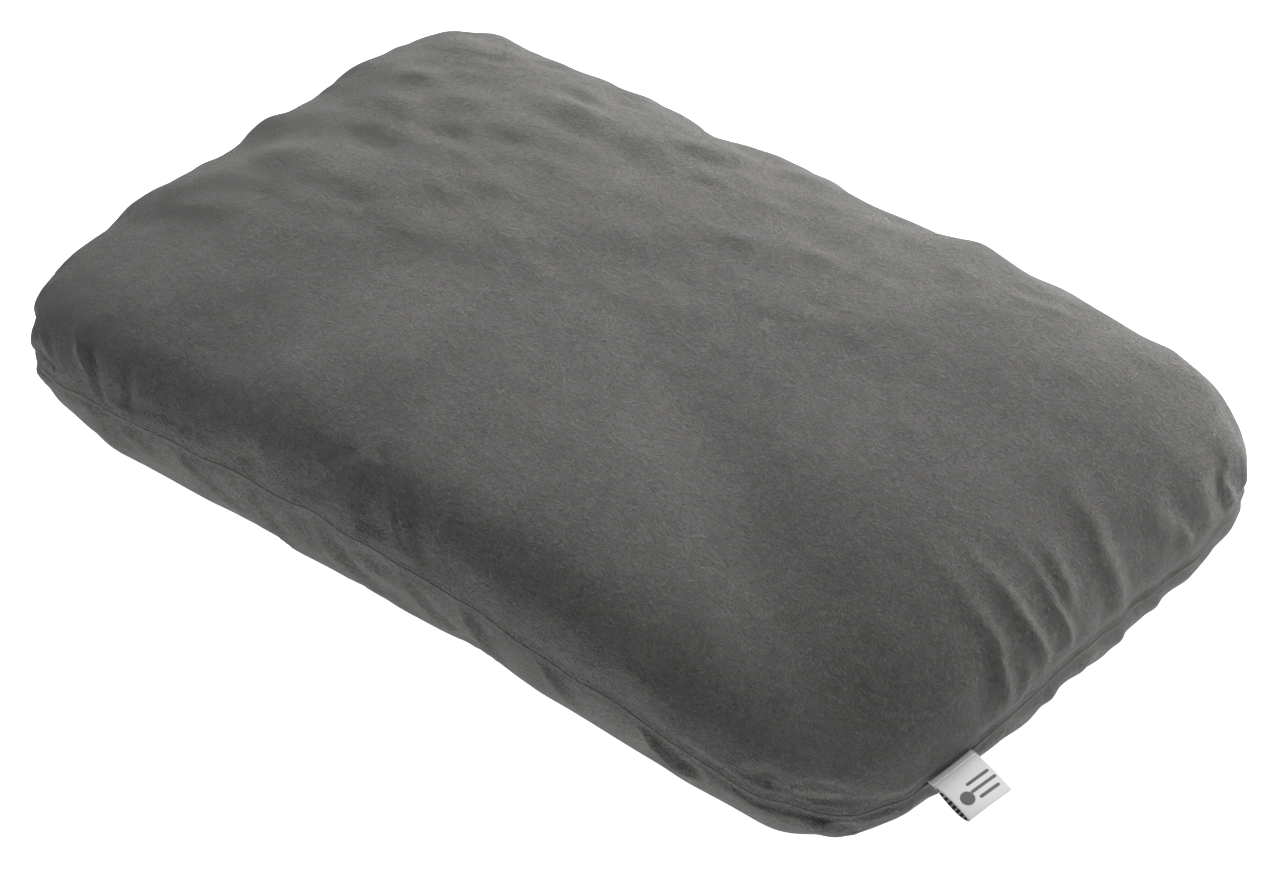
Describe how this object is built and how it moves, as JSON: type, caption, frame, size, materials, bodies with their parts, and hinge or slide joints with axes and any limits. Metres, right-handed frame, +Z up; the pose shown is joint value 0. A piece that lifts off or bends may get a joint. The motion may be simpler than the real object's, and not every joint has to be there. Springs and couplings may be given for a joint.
{
  "type": "camp pillow",
  "caption": "Soft rectangular pillow for camping: cloth panels sewn edge to edge round loose foam, with a folded ribbon label in the end seam.",
  "frame": {"origin": "middle of the flat patch that the pillow rests on", "axes": "+X along the pillow towards the labelled end, +Y across it towards the back, +Z up through its thickness"},
  "size_m": [0.478, 0.3117, 0.1176],
  "materials": {
    "top_cloth": "matte",
    "bottom_cloth": "matte",
    "foam": "matte",
    "thread": "satin",
    "ribbon": "satin"
  },
  "bodies": {
    "lower_half": {"bottom_panel": "bottom_cloth", "foam_fill": "foam"},
    "upper_half": {"top_panel": "top_cloth", "seam_needle_thread": "thread", "seam_bobbin_thread": "thread", "closing_needle_thread": "thread", "closing_bobbin_thread": "thread", "label_tail": "ribbon"},
    "label": {"label_loop": "ribbon"}
  },
  "joints": [
    {"name": "press", "type": "slide", "parent": "lower_half", "child": "upper_half", "axis": [0, 0, -1], "range_m": [0, 0.018], "stiffness_N_per_m": 900, "deforming": ["bottom_panel", "foam_fill"]},
    {"name": "label_flip", "type": "hinge", "parent": "upper_half", "child": "label", "pos_m": [0.21191, -0.07296, 0.04692], "axis": [-0.1993, -0.9524, -0.2308], "range_deg": [-45, 65], "stiffness_Nm_per_rad": 0.00002}
  ]
}
